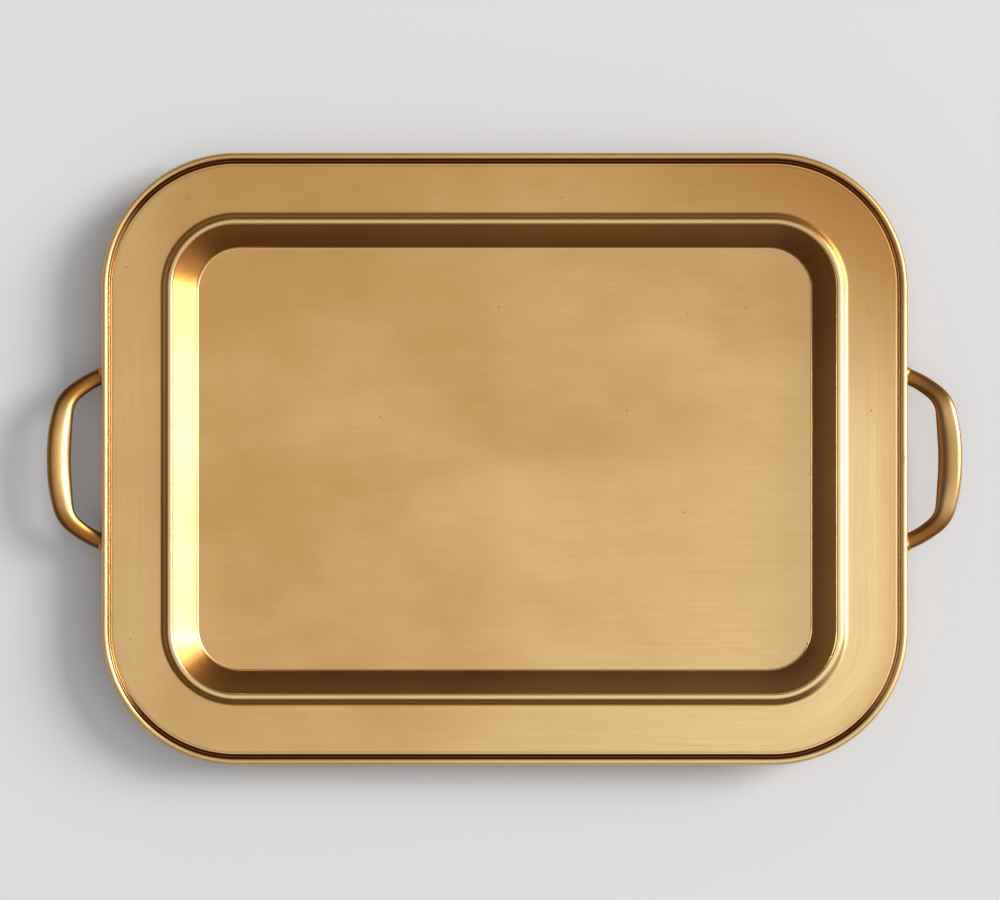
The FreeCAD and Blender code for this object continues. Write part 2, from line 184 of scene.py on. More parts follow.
def panBends(shape, edge):
    # the bends of the section from the floor outwards: name, centre, radius, turn, headings
    crest = shape["gauge"] + shape["wellDepth"]
    flange = crest - shape["crestRise"]
    beadHeight = flange + shape["beadRise"] - shape["bead"]
    floor = Vector((edge - shape["floorInset"], 0, shape["gauge"] + shape["floorFillet"]))
    inner = Vector((edge - shape["crestInset"], 0, crest - shape["crestInner"]))
    outer = Vector((inner.x, 0, crest - shape["crestOuter"]))
    ridge = shape["crestOuter"] + shape["cove"]
    coveRun = math.sqrt(ridge ** 2 - (ridge - shape["crestRise"]) ** 2)
    cove = Vector((outer.x + coveRun, 0, flange + shape["cove"]))
    lip = Vector((edge - shape["lipInset"], 0, flange - shape["lip"]))
    bead = Vector((edge - shape["bead"], 0, beadHeight))
    reach = shape["bead"] + shape["groove"]
    grooveRun = shape["grooveInset"] - shape["bead"]
    groove = Vector((edge - shape["grooveInset"], 0,
                     beadHeight + math.sqrt(reach ** 2 - grooveRun ** 2)))
    wall = straightHeading(floor, inner, shape["floorFillet"] + shape["crestInner"], 1)
    flank = -math.degrees(math.atan2(coveRun, cove.z - outer.z))
    slope = straightHeading(lip, groove, shape["lip"] + shape["groove"], -1)
    rise = math.degrees(math.atan2(grooveRun, groove.z - bead.z))
    return [
        ("fillet", floor, shape["floorFillet"], 1, 0, wall),
        ("crestInner", inner, shape["crestInner"], -1, wall, 0),
        ("crestOuter", outer, shape["crestOuter"], -1, 0, flank),
        ("cove", cove, shape["cove"], 1, flank, 0),
        ("lip", lip, shape["lip"], -1, 0, slope),
        ("groove", groove, shape["groove"], 1, slope, rise),
        ("bead", bead, shape["bead"], -1, rise, shape["curlEnd"] - 270),
    ]


def drawSection(mesh, shape, edge):
    # one vertex carried along each straight run and round each bend, leaving edges behind it
    across = mesh.verts.layers.float.new("across")    # millimetres from the floor's edge outwards
    bends = panBends(shape, edge)
    start = bends[0][1] - leftOf(0) * bends[0][2]
    chain = bmesh.ops.create_vert(mesh, co=start)["vert"]
    zones = {}

    def carryTo(place, steps):
        stride = (place - chain[-1].co) / steps
        for _ in range(steps):
            tip = bmesh.ops.extrude_vert_indiv(mesh, verts=chain[-1:])["verts"][0]
            tip.co += stride
            tip[across] = chain[-1][across] + stride.length
            chain.append(tip)

    for name, centre, radius, turn, headingIn, headingOut in bends:
        if name in straightSteps:
            carryTo(centre - leftOf(headingIn) * turn * radius, straightSteps[name])
        zones[name] = chain[-1][across]
        swing = (headingOut - headingIn) / bendSteps[name]
        for step in range(1, bendSteps[name] + 1):
            carryTo(centre - leftOf(headingIn + swing * step) * turn * radius, 1)
        zones[name + "End"] = chain[-1][across]
    return zones


def sweepRound(mesh, shape, length, width):
    # the section goes once round the tray: along a side, round a corner, and so on
    right, top = length / 2 - shape["cornerRadius"], width / 2 - shape["cornerRadius"]
    corners = [(right, top), (-right, top), (-right, -top), (right, -top)]
    ring = list(mesh.edges)

    def sweep(matrix, steps):
        nonlocal ring
        for _ in range(steps):
            made = bmesh.ops.extrude_edge_only(mesh, edges=ring)["geom"]
            verts = {item for item in made if isinstance(item, bmesh.types.BMVert)}
            bmesh.ops.transform(mesh, matrix=matrix, verts=list(verts))
            ring = [item for item in made
                    if isinstance(item, bmesh.types.BMEdge) and verts.issuperset(item.verts)]

    runs = [(0, top), (-2 * right, 0), (0, -2 * top), (2 * right, 0), (0, top)]
    steps = shape["sideSteps"]
    for number, run in enumerate(runs):
        count = steps if number in (1, 2, 3) else steps // 2
        sweep(Matrix.Translation(Vector((*run, 0)) / count), count)
        if number < len(corners):
            centre = Vector((*corners[number], 0))
            turn = Matrix.Rotation(math.pi / 2 / shape["cornerSteps"], 4, "Z")
            around = Matrix.Translation(centre) @ turn @ Matrix.Translation(-centre)
            sweep(around, shape["cornerSteps"])
    bmesh.ops.remove_doubles(mesh, verts=mesh.verts, dist=weldGap)


def finishPiece(mesh, name):
    for face in mesh.faces:
        face.smooth = True
    data = bpy.data.meshes.new(name)
    mesh.to_mesh(data)
    mesh.free()
    piece = bpy.data.objects.new(name, data)
    bpy.context.collection.objects.link(piece)
    return piece


def makePan(shape):
    length, width = (panHigh.x - panLow.x) / mm, (panHigh.y - panLow.y) / mm
    mesh = bmesh.new()
    zones = drawSection(mesh, shape, length / 2)
    sweepRound(mesh, shape, length, width)
    across = mesh.verts.layers.float["across"]
    floorEdge = [e for e in mesh.edges if e.is_boundary and max(v[across] for v in e.verts) < sameSpot]
    bmesh.ops.edgeloop_fill(mesh, edges=floorEdge)
    for vert in mesh.verts:              # a hand-finished sheet is never quite flat
        share = min(1.0, vert[across] / zones["crestInner"])
        vert.co.z -= shape["ripple"] * share * (0.5 + noise.noise(vert.co / shape["rippleLength"]))
    bmesh.ops.recalc_face_normals(mesh, faces=mesh.faces)
    middle = max(mesh.faces, key=lambda face: face.calc_area())
    if middle.normal.z < 0:
        bmesh.ops.reverse_faces(mesh, faces=mesh.faces)
    bmesh.ops.scale(mesh, vec=(mm, mm, mm), verts=mesh.verts)
    piece = finishPiece(mesh, "panSheet")
    solid = piece.modifiers.new("gauge", "SOLIDIFY")
    solid.thickness = shape["gauge"] * mm
    solid.offset = -1
    solid.use_even_offset = True
    solid.material_offset = 1
    return piece, zones


pan, zones = makePan(panShape)
print("pan", len(pan.data.polygons), "faces", {name: round(at, 1) for name, at in zones.items()})


handleShape = {                  # millimetres and degrees
    "legSpan": 111.8,
    "headings": (21.0, 42.0, 80.0, 90.0),
    "radii": (60.0, 22.0),
    "steps": (5, 8, 7),
    "inside": 13.8,              # how far a leg runs on under the rim, into its lug
    "leg": (10.8, 6.4),          # width and thickness
    "grip": (16.2, 8.45),
    "gripHalf": 12.0,            # half of the stretch with the full width
    "tilt": 17.0,
    "tiltStart": 12.0,
    "legHeight": 25.3,
    "squareness": 2.5,           # of the side towards the tray
    "ringPoints": 28,
    "lugRuns": (1.0, 0.66, 0.33, 0.0),    # places inside the lug, as shares of that run
    "sharpAngle": 40.0,          # edges of the casting turned by more than this stay crisp
}


def barStations(shape):
    heading = shape["headings"]
    slope = math.tan(math.radians(heading[0]))
    out, side = 0.0, shape["legSpan"] / 2
    stations = [(-shape["inside"] * part, side + shape["inside"] * part * slope, heading[0])
                for part in shape["lugRuns"]]
    for stretch, (first, last) in enumerate(zip(heading, heading[1:])):
        # the grip's radius is what brings the bar to its middle with a heading of 90 degrees
        radius = (*shape["radii"], None)[stretch] or side / math.cos(math.radians(first))
        steps = shape["steps"][stretch]
        for step in range(1, steps + 1):
            before = math.radians(first + (last - first) * (step - 1) / steps)
            after = math.radians(first + (last - first) * step / steps)
            out += radius * (math.sin(after) - math.sin(before))
            side -= radius * (math.cos(before) - math.cos(after))
            stations.append((out, side, math.degrees(after)))
    return stations + [(o, -s, 180 - h) for o, s, h in reversed(stations[:-1])]


def barRise(shape, out):
    slope, start = math.tan(math.radians(shape["tilt"])), shape["tiltStart"]
    if out <= 0:
        return 0.0
    return slope * out * out / (2 * start) if out < start else slope * (out - start / 2)


def barPlace(shape, station, share=0.0, lift=0.0):
    out, side, heading = station
    tilt = shape["tilt"] * math.sin(math.radians(heading)) * share
    roll = Matrix.Rotation(math.radians(-tilt), 4, "Y")
    across = Matrix.Rotation(math.radians(270 - heading), 4, "Z") @ Matrix.Rotation(math.pi / 2, 4, "X")
    height = shape["legHeight"] + barRise(shape, out) + lift
    return Matrix.Translation((panHigh.x / mm + out, side, height)) @ roll @ across


def oval(mesh, shape, matrix, width, thickness, squareness=2.0):
    # a ring whose side towards the tray is squarer than its outer side
    ring = bmesh.ops.create_circle(mesh, segments=shape["ringPoints"], radius=1.0)["verts"]
    for vert in ring:
        power = 2 / (squareness if vert.co.x < 0 else 2.0)
        vert.co.x = math.copysign(abs(vert.co.x) ** power, vert.co.x) * width / 2
        vert.co.y = math.copysign(abs(vert.co.y) ** power, vert.co.y) * thickness / 2
    bmesh.ops.transform(mesh, matrix=matrix, verts=ring)
    return ring


def bridge(mesh, rings):
    loops = []
    for ring in rings:
        members = set(ring)
        loops.append([e for e in mesh.edges if members.issuperset(e.verts)])
    for first, second in zip(loops, loops[1:]):
        bmesh.ops.bridge_loops(mesh, edges=first + second)
    for loop in (loops[0], loops[-1]):
        bmesh.ops.edgeloop_fill(mesh, edges=loop)


def turnRound(mesh, side):
    # a left-hand piece is a right-hand one turned half round
    if side < 0:
        bmesh.ops.rotate(mesh, cent=(0, 0, 0), matrix=Matrix.Rotation(math.pi, 3, "Z"), verts=mesh.verts)


def makeHandle(shape, side):
    mesh = bmesh.new()
    rings = []
    half = shape["legSpan"] / 2
    for station in barStations(shape):
        share = min(1.0, max(0.0, (half - abs(station[1])) / (half - shape["gripHalf"])))
        share = share * share * (3 - 2 * share)
        width, thickness = (leg + (grip - leg) * share for leg, grip in zip(shape["leg"], shape["grip"]))
        matrix = barPlace(shape, station, share)
        rings.append(oval(mesh, shape, matrix, width, thickness, shape["squareness"]))
    bridge(mesh, rings)
    bmesh.ops.recalc_face_normals(mesh, faces=mesh.faces)
    bmesh.ops.scale(mesh, vec=(mm, mm, mm), verts=mesh.verts)
    turnRound(mesh, side)
    piece = finishPiece(mesh, "rightGrip" if side > 0 else "leftGrip")
    smooth = piece.modifiers.new("smooth", "SUBSURF")
    smooth.levels = smooth.render_levels = 1
    return piece


grips = [makeHandle(handleShape, side) for side in (1, -1)]
print("handles", [len(grip.data.polygons) for grip in grips])


lugShape = {                     # millimetres
    "inset": 9.6,
    "length": 17.0,
    "width": 15.0,
    "corner": 4.0,
    "cornerSteps": 5,
    "top": 32.35,
    "bottom": 21.1,
    "rounding": 1.5,             # of the lower edges
    "roundingSteps": 4,
}
brazeShape = {
    "skirt": 1.2,                # fillet round a lug
    "film": 0.15,
    "saddle": ((-5.2, 0.3), (-3.6, 0.9), (-1.9, 1.3), (-0.4, 0.9), (1.2, 0.3)),   # place and growth
    "lift": 0.3,                 # share of the growth by which the saddle sits higher
    "lumps": 0.1,
    "lumpLength": 1.5,
    "lumpShift": 5.0,            # sets the lumps of the two sides apart
}


def lugPlace(side):
    inset = lugShape["inset"] + lugShape["length"] / 2
    along = handleShape["legSpan"] / 2 + inset * math.tan(math.radians(handleShape["headings"][0]))
    return panHigh.x / mm - inset, side * along


def block(mesh, place, size, corner):
    # a plate with rounded corners in plan; returns its vertices
    before = set(mesh.verts)
    made = bmesh.ops.create_cube(mesh, size=1.0)["verts"]
    bmesh.ops.scale(mesh, vec=size, verts=made)
    bmesh.ops.translate(mesh, vec=place, verts=made)
    upright = [e for e in mesh.edges
               if e.verts[0] in made and abs(e.verts[0].co.z - e.verts[1].co.z) > size[2] / 2]
    bmesh.ops.bevel(mesh, geom=upright, offset=corner, offset_type="OFFSET", affect="EDGES",
                    segments=lugShape["cornerSteps"], profile=0.5, material=-1)
    return [v for v in mesh.verts if v not in before]


def makeLugs(side):
    mesh = bmesh.new()
    size = (lugShape["length"], lugShape["width"], lugShape["top"] - lugShape["bottom"])
    for end in (1, -1):
        x, y = lugPlace(end)
        block(mesh, (x, y, (lugShape["top"] + lugShape["bottom"]) / 2), size, lugShape["corner"])
    low = [e for e in mesh.edges if max(v.co.z for v in e.verts) < lugShape["bottom"] + sameSpot]
    bmesh.ops.bevel(mesh, geom=low, offset=lugShape["rounding"], offset_type="OFFSET", affect="EDGES",
                    segments=lugShape["roundingSteps"], profile=0.5, material=-1)
    bmesh.ops.scale(mesh, vec=(mm, mm, mm), verts=mesh.verts)
    turnRound(mesh, side)
    return finishPiece(mesh, "lugs")


def makeBraze(side):
    mesh = bmesh.new()
    skirt = brazeShape["skirt"]
    size = (lugShape["length"] + 2 * skirt, lugShape["width"] + 2 * skirt, skirt)
    top = lugShape["top"] + brazeShape["film"]
    for end in (1, -1):
        x, y = lugPlace(end)
        plate = block(mesh, (x, y, top - skirt / 2), size, lugShape["corner"] + skirt)
        for vert in plate:               # its lower edge draws in to the lug
            if vert.co.z < top - skirt / 2:
                vert.co.x = x + (vert.co.x - x) * lugShape["length"] / size[0]
                vert.co.y = y + (vert.co.y - y) * lugShape["width"] / size[1]
    legHeading = handleShape["headings"][0]
    slope = math.tan(math.radians(legHeading))
    for end in (1, -1):
        rings = []
        for out, growth in brazeShape["saddle"]:
            along = end * (handleShape["legSpan"] / 2 - out * slope)
            station = (out, along, legHeading if end > 0 else 180 - legHeading)
            matrix = barPlace(handleShape, station, lift=growth * brazeShape["lift"])
            width, thickness = (size + growth for size in handleShape["leg"])
            rings.append(oval(mesh, handleShape, matrix, width, thickness))
        bridge(mesh, rings)
    bmesh.ops.recalc_face_normals(mesh, faces=mesh.faces)
    shift = Vector((side * brazeShape["lumpShift"], 0, 0))
    for vert in mesh.verts:
        lump = noise.noise(vert.co / brazeShape["lumpLength"] + shift)
        vert.co -= vert.normal * abs(lump) * brazeShape["lumps"]
    bmesh.ops.scale(mesh, vec=(mm, mm, mm), verts=mesh.verts)
    turnRound(mesh, side)
    return finishPiece(mesh, "rightBraze" if side > 0 else "leftBraze")


def fuse(piece, other):
    # one casting: the other piece is united with this one and then removed
    join = piece.modifiers.new("join", "BOOLEAN")
    join.operation = "UNION"
    join.solver = "EXACT"
    join.object = other
    view = bpy.context.evaluated_depsgraph_get()
    data = bpy.data.meshes.new_from_object(piece.evaluated_get(view))
    piece.modifiers.clear()
    piece.data = data
    bpy.data.objects.remove(other)
    data.set_sharp_from_angle(angle=math.radians(handleShape["sharpAngle"]))


def keepFacing(piece):
    # every vertex keeps the way it faces, for the finish
    facing = piece.data.attributes.new("facing", "FLOAT_VECTOR", "POINT")
    for vert, kept in zip(piece.data.vertices, facing.data):
        kept.vector = vert.normal


for grip, side in zip(grips, (1, -1)):
    fuse(grip, makeLugs(side))
    keepFacing(grip)
brazes = [makeBraze(side) for side in (1, -1)]
print("lugs and braze", [len(piece.data.polygons) for piece in grips + brazes])


brassLook = {
    "bright": (0.84, 0.57, 0.262, 1),    # satin brass
    "warm": (0.60, 0.34, 0.112, 1),      # where the antiquing is thicker; also painted shade inside the lip at the right end
    "brown": (0.40, 0.175, 0.036, 1),    # painted shade on walls, flanks, the back right, legs and handle sides away from the light; also brown brush lines, pits and clouds
    "patina": (0.17, 0.055, 0.008, 1),   # darkest painted shade: groove, crease, wall, front flank, and the handles' legs, shaded and downward sides
    "burnishAndHighlight": (0.97, 0.71, 0.35, 1),    # burnished crests and edges, which also carry painted highlight; painted highlight at the front right and the rim's ends
    "paintedHighlight": (0.98, 0.81, 0.54, 1),     # painted highlight on the left wall
    "lacquer": 0.08,                     # weight of the clear coat
    "lacquerRoughness": 0.1,
    "relief": (0.00004, 0.5),            # depth in metres and strength
}

# bands that follow the section: a bend and millimetres past it, twice, then the softness of both edges
panBands = {
    "wall": ("filletEnd", 0.0, "crestInner", 0.0, 0.8),
    "crest": ("crestInner", 1.2, "crestOuter", 1.4, 1.0),
    "flank": ("crestOuter", 2.6, "coveEnd", -1.6, 1.4),
    "crease": ("lip", -1.0, "lip", -0.5, 0.6),
    "lip": ("lip", 0.1, "lip", 1.2, 0.4),
    "groove": ("lip", 0.7, "bead", 1.5, 0.5),
    "floorLine": ("fillet", 0.4, "fillet", 0.8, 0.3),
}
# steps of the edge: a bend, and where past it the step starts and ends
panSteps = {
    "bead": ("bead", 0.5, 1.4),
    "side": ("bead", 4.6, 6.0),
    "curl": ("bead", 7.0, 8.5),
}
# patches of the plan: shares of right and back in their direction, start and end in metres, strength at both
panPatches = {
    "corner": (0.9, 1.0, 0.19, 0.42, 0.0, 1.0),      # painted shade, thickest towards the back right corner
    # painted shade, a little, at the back
    "back": (0.0, 1.0, 0.14, 0.18, 0.0, 0.1),
    "front": (0.7, -1.0, 0.08, 0.32, 0.0, 1.0),      # painted highlight, brightest at the front right
    # painted highlight on the rim's two ends, less towards the back right
    "right": (1.0, 0.0, 0.18, 0.24, 0.0, 1.0),
    "rightEnd": (0.5, 1.0, 0.10, 0.28, 1.0, 0.0),
    "left": (1.0, 0.0, -0.25, -0.21, 0.35, 0.0),
    # painted highlight on the left wall, between its corners, fading towards the back
    "litWallLeft": (1.0, 0.0, -0.207, -0.192, 1.0, 0.0),
    "litWallFront": (0.0, 1.0, -0.132, -0.112, 0.0, 1.0),
    "litWallBack": (0.0, 1.0, 0.128, 0.148, 1.0, 0.0),
    "litWallFade": (0.0, 1.0, 0.0, 0.1, 1.0, 0.6),
    # painted shade on the ridge's flank, left off at the right end but for its back, deepest at the front
    "flankRight": (1.0, 0.0, 0.2, 0.22, 0.0, 1.0),
    "flankBack": (0.0, 1.0, 0.105, 0.125, 0.8, 0.0),
    "flankFront": (0.0, 1.0, -0.1, 0.1, 0.4, 0.0),
    "lipLeft": (1.0, 0.0, 0.2, 0.25, 0.3, 0.0),
    "sideLeft": (1.0, 0.0, 0.23, 0.26, 0.5, 0.1),
    "grooveLeft": (1.0, 0.0, -0.262, -0.24, 0.1, 0.95),
    "grooveRight": (1.0, 0.0, 0.235, 0.259, 0.0, 0.5),
}
panLook = {
    "floorEnd": 0.05,                # millimetres past the floor's edge
    "fine": (3.2, 34.0),             # brush lines a millimetre across them, changes a metre along them
    "broad": (0.45, 9.0),
    "brush": (3.0, 0.6),             # noise: detail, roughness and, where it stands, scale
    "clouds": (3.0, 0.55, 9.0),
    "veil": (4.0, 0.6),
    "veilStretch": (6.0, 14.0),
    "share": (0.22, 0.24, 0.3),      # of the clouds, the veil and the slope to the front right; the slope is painted light
    "brightness": (0.09, 0.36),
    "cornerBrown": (0.2, 0.75),      # painted shade on the floor, and how much more on the rim
    "frontHighlight": (0.35, 0.25),
    "rightHighlight": 0.6,
    "rimWarm": (16.0, 0.4),          # painted shade at the right end: width inside the lip, strength at the lip
    "broadWarm": (0.25, 0.75, 0.16, 0.0),
    "fineBrown": (0.3, 0.75, 0.14, 0.0),
    "wallBrown": (0.6, 0.33),        # painted shade all over the wall, and how much more at its foot
    "wallShadeDark": (0.18, 0.42),
    "wallLacquer": 0.8,
    "paintedHighlightStrength": 0.9,
    "flankBrown": 0.9,
    "shine": {"floorLine": 0.6, "crest": 0.45, "bead": 0.2},
    "creaseShade": 0.3,
    "pitScale": 24.0,
    "pitSize": (0.01, 0.018),
    "pitShare": (0.86, 0.87),
    "pitBrown": 0.8,
    "satin": (0.31, 0.14, 0.08),     # roughness, and how much brush lines and clouds change it
    "polish": (0.22, 0.05),          # the same on the wall, the crest and the groove
    "rougher": {"lip": 0.35, "bead": 0.08, "curl": 0.1},
    "smoother": 0.85,                # share of the brush relief that polishing takes away
    "depth": (0.35, 2.0),            # of the broad lines and of the pits
}


def panFinish(brass, look):
    f = Finish("brushedBrass")
    across = f.attribute("across")
    onFloor = f.add("ShaderNodeMath", {"operation": "LESS_THAN"}, [across, look["floorEnd"]])
    onRim = 1 - onFloor
    line = onFloor * (f.y * (1 / mm)) + onRim * across
    fine, broad = (
        f.noise(f.vector(line * lines, f.x * changes, f.y * changes * onRim), *look["brush"])
        for lines, changes in (look["fine"], look["broad"]))
    clouds = f.noise(f.place, *look["clouds"])
    veilRight, veilBack = look["veilStretch"]
    veil = f.noise(f.vector(f.x * veilRight, f.y * veilBack, 0.0), *look["veil"])

    band = {name: f.band(across, zones[first] + past, zones[last] + beyond, soft)
            for name, (first, past, last, beyond, soft) in panBands.items()}
    band.update({name: f.ramp(across, zones[bend] + first, zones[bend] + last)
                 for name, (bend, first, last) in panSteps.items()})
    patch = {name: f.ramp(f.x * right + f.y * back, *limits)
             for name, (right, back, *limits) in panPatches.items()}
    wall = band["wall"]
    wallFoot = wall * f.ramp(across, zones["fillet"], zones["crestInner"], 1.0, 0.0)

    # antiquing and polish at random over floor and rim; painted light and shade by place: lighter to the
    # front right and at the rim's ends, darker at the back and inside the right end's lip
    cloudy, veiled, sloping = look["share"]
    # clouds and veil vary the tone at random; the slope is painted light, lighter to the front right
    share = clouds * cloudy + veil * veiled + f.x * sloping - f.y * sloping
    tone = f.mix(f.ramp(share, *look["brightness"]), brass["warm"], brass["bright"])
    # painted shade towards the back right corner and at the back
    floorBrown, rimBrown = look["cornerBrown"]
    tone = f.mix(patch["corner"] * (floorBrown + rimBrown * onRim), tone, brass["brown"])
    tone = f.mix(patch["back"], tone, brass["brown"])
    # painted highlight at the front right and on the rim's two ends
    right = patch["right"] * patch["rightEnd"]
    floorShine, rimShine = look["frontHighlight"]
    ends = (right * look["rightHighlight"] + patch["left"]) * onRim
    tone = f.mix(patch["front"] * (floorShine + rimShine * onRim) + ends, tone, brass["burnishAndHighlight"])
    # painted shade on the rim inside the lip at the right end
    warmWidth, warmth = look["rimWarm"]
    nearLip = f.ramp(across, zones["lip"] - warmWidth, zones["lip"], 0.0, warmth)
    tone = f.mix(right * nearLip, tone, brass["warm"])
    tone = f.mix(f.ramp(broad, *look["broadWarm"]), tone, brass["warm"])
    tone = f.mix(f.ramp(fine, *look["fineBrown"]), tone, brass["brown"])

    # the wall: painted shade but for the left side, which has a painted highlight
    litWallMask = wall * patch["litWallLeft"] * patch["litWallFront"] * patch["litWallBack"] * patch["litWallFade"]
    for name, strength in (("brown", look["wallBrown"]), ("patina", look["wallShadeDark"])):
        dark = wall * strength[0] + wallFoot * strength[1]
        tone = f.mix(dark * (1 - litWallMask), tone, brass[name])
    tone = f.mix(litWallMask * look["paintedHighlightStrength"], tone, brass["paintedHighlight"])

    # the ridge, the edge and the groove, with painted shade and painted highlight
    # painted shade on the flank
    shadedFlank = band["flank"] * (1 - patch["flankRight"] * patch["flankBack"])
    tone = f.mix(shadedFlank * look["flankBrown"], tone, brass["brown"])
    tone = f.mix(shadedFlank * patch["flankFront"], tone, brass["patina"])
    # burnished edges that also carry painted highlight: floor line, crest, bead, and the lip but for its
    # right end
    shine = band["lip"] * patch["lipLeft"]
    for name, strength in look["shine"].items():
        shine = shine + band[name] * strength
    tone = f.mix(shine, tone, brass["burnishAndHighlight"])
    # painted shade on the bead's outer side, less at the right end
    tone = f.mix(band["side"] * patch["sideLeft"], tone, brass["brown"])
    # painted shade in the groove and the crease before the lip, slight on the left, less at the right end
    dark = patch["grooveLeft"] - patch["grooveRight"]
    creased = band["crease"] * dark * look["creaseShade"]
    tone = f.mix(creased + band["groove"] * dark, tone, brass["patina"])

    flat = {"voronoi_dimensions": "2D"}
    speck = {"Vector": f.place, "Scale": look["pitScale"]}
    distance = f.add("ShaderNodeTexVoronoi", flat, speck)
    pick = f.split(f.add("ShaderNodeTexVoronoi", flat, speck, output=1))[0]
    pits = f.ramp(distance, *look["pitSize"], 1.0, 0.0) * f.ramp(pick, *look["pitShare"]) * (1 - wall)
    tone = f.mix(pits * look["pitBrown"], tone, brass["brown"])

    base, byLines, byClouds = look["satin"]
    satin = base + (fine - 0.5) * byLines + (clouds - 0.5) * byClouds
    base, byLines = look["polish"]
    polish = f.ramp(wall + band["crest"] + band["groove"], 0.0, 1.0)
    roughness = satin * (1 - polish) + (base + (fine - 0.5) * byLines) * polish
    for name, more in look["rougher"].items():
        roughness = roughness + band[name] * more
    smooth = f.ramp(polish + band["bead"] + band["lip"] + band["flank"], 0.0, 1.0) * look["smoother"]
    broadDepth, pitDepth = look["depth"]
    relief = (fine - 0.5) * (1 - smooth) + broad * broadDepth - pits * pitDepth
    return f.surface(Base_Color=tone, Roughness=roughness, Metallic=1.0,
                     Coat_Weight=brass["lacquer"] + wall * look["wallLacquer"],
                     Coat_Roughness=brass["lacquerRoughness"], Normal=f.bump(relief, *brass["relief"]))


undersideLook = {                    # noise: detail, roughness and, where it stands, scale
    "clouds": (4.0, 0.6, 14.0),
    "lines": (3.0, 0.6),
    "lineStretch": (40.0, 900.0),
    "brightness": (0.3, 0.7),
    "lineBrown": (0.3, 0.7, 0.25, 0.0),
    "roughness": (0.4, 0.15),        # and how much the lines change it
}


def undersideFinish(brass, look):
    f = Finish("dullBrass")
    right, back = look["lineStretch"]
    clouds = f.noise(f.place, *look["clouds"])
    lines = f.noise(f.vector(f.x * right, f.y * back, 0.0), *look["lines"])
    tone = f.mix(f.ramp(clouds, *look["brightness"]), brass["warm"], brass["bright"])
    tone = f.mix(f.ramp(lines, *look["lineBrown"]), tone, brass["brown"])
    roughness, change = look["roughness"]
    return f.surface(Base_Color=tone, Roughness=roughness + (lines - 0.5) * change, Metallic=1.0,
                     Normal=f.bump(lines, *brass["relief"]))


castLook = {                         # noise: detail, roughness and, where it stands, scale
    "clouds": (3.0, 0.6, 60.0),
    "wear": (2.0, 0.5, 24.0),
    "lines": (2.0, 0.5),
    "lineStretch": (1500.0, 120.0),  # round the bar and along it
    "wearBright": (0.35, 0.65, 0.1, 0.6),
    "cloudBrown": (0.45, 0.75, 0.0, 0.3),
    # painted shade on the sides facing left, away from the light
    "shaded": (-0.45, 0.1, 1.0, 0.0),
    "legs": (0.0008, 0.0021),        # painted shade on the legs; squares of metres from the middle of the handle
    "shadedBrown": 0.9,
    "legBrown": 0.95,
    "sideShadeDark": 0.45,
    "legShadeDark": 0.35,
    "downwardShade": (-0.2, 0.5, 0.6, 0.0),
    "roughness": (0.29, 0.1),        # and how much the clouds change it
    "depth": (0.7, 0.3),             # of the clouds and of the lines
}


def castFinish(brass, look):
    f = Finish("castBrass")
    acrossBar, alongBar = look["lineStretch"]
    clouds = f.noise(f.place, *look["clouds"])
    wear = f.noise(f.place, *look["wear"])
    lines = f.noise(f.vector(f.x * acrossBar, f.y * alongBar, f.z * acrossBar), *look["lines"])
    right, back, up = f.split(f.attribute("facing", "Vector"))
    shaded = f.ramp(right + f.x, *look["shaded"])     # painted shade on the sides facing left, away from the light
    leg = f.ramp(f.y * f.y, *look["legs"])
    tone = f.mix(f.ramp(wear, *look["wearBright"]), brass["warm"], brass["bright"])
    tone = f.mix(f.ramp(clouds, *look["cloudBrown"]), tone, brass["brown"])
    tone = f.mix(shaded * look["shadedBrown"], tone, brass["brown"])
    tone = f.mix(leg * look["legBrown"], tone, brass["brown"])
    patina = shaded * look["sideShadeDark"] + leg * look["legShadeDark"]
    tone = f.mix(patina, tone, brass["patina"])
    # painted shade on the sides facing down
    tone = f.mix(f.ramp(up, *look["downwardShade"]), tone, brass["patina"])
    roughness, change = look["roughness"]
    cloudDepth, lineDepth = look["depth"]
    return f.surface(Base_Color=tone, Roughness=roughness + (clouds - 0.5) * change, Metallic=1.0,
                     Coat_Weight=brass["lacquer"], Coat_Roughness=brass["lacquerRoughness"],
                     Normal=f.bump(clouds * cloudDepth + lines * lineDepth, *brass["relief"]))


brazeLook = {
    "lumps": (3.0, 0.6, 420.0),      # noise: detail, roughness, scale
    "brightness": (0.3, 0.7),
    "roughness": (0.3, 0.2),         # and how much the lumps change it
    "relief": (0.0002, 0.5),
}


def brazeFinish(brass, look):
    f = Finish("brazeMetal")
    lumps = f.noise(f.place, *look["lumps"])
    tone = f.mix(f.ramp(lumps, *look["brightness"]), brass["brown"], brass["warm"])
    roughness, change = look["roughness"]
    return f.surface(Base_Color=tone, Roughness=roughness + (lumps - 0.5) * change, Metallic=1.0,
                     Normal=f.bump(lumps, *look["relief"]))


wireLook = {
    "lines": (2.0, 0.5, 900.0),      # noise: detail, roughness, scale
    "dark": (0.42, 0.41, 0.4, 1),    # steel
    "light": (0.6, 0.59, 0.57, 1),
    "roughness": (0.35, 0.15),
}


def wireFinish(look):
    f = Finish("drawnWire")
    lines = f.noise(f.place, *look["lines"])
    tone = f.mix(lines, look["dark"], look["light"])
    roughness, change = look["roughness"]
    return f.surface(Base_Color=tone, Roughness=roughness + lines * change, Metallic=1.0)


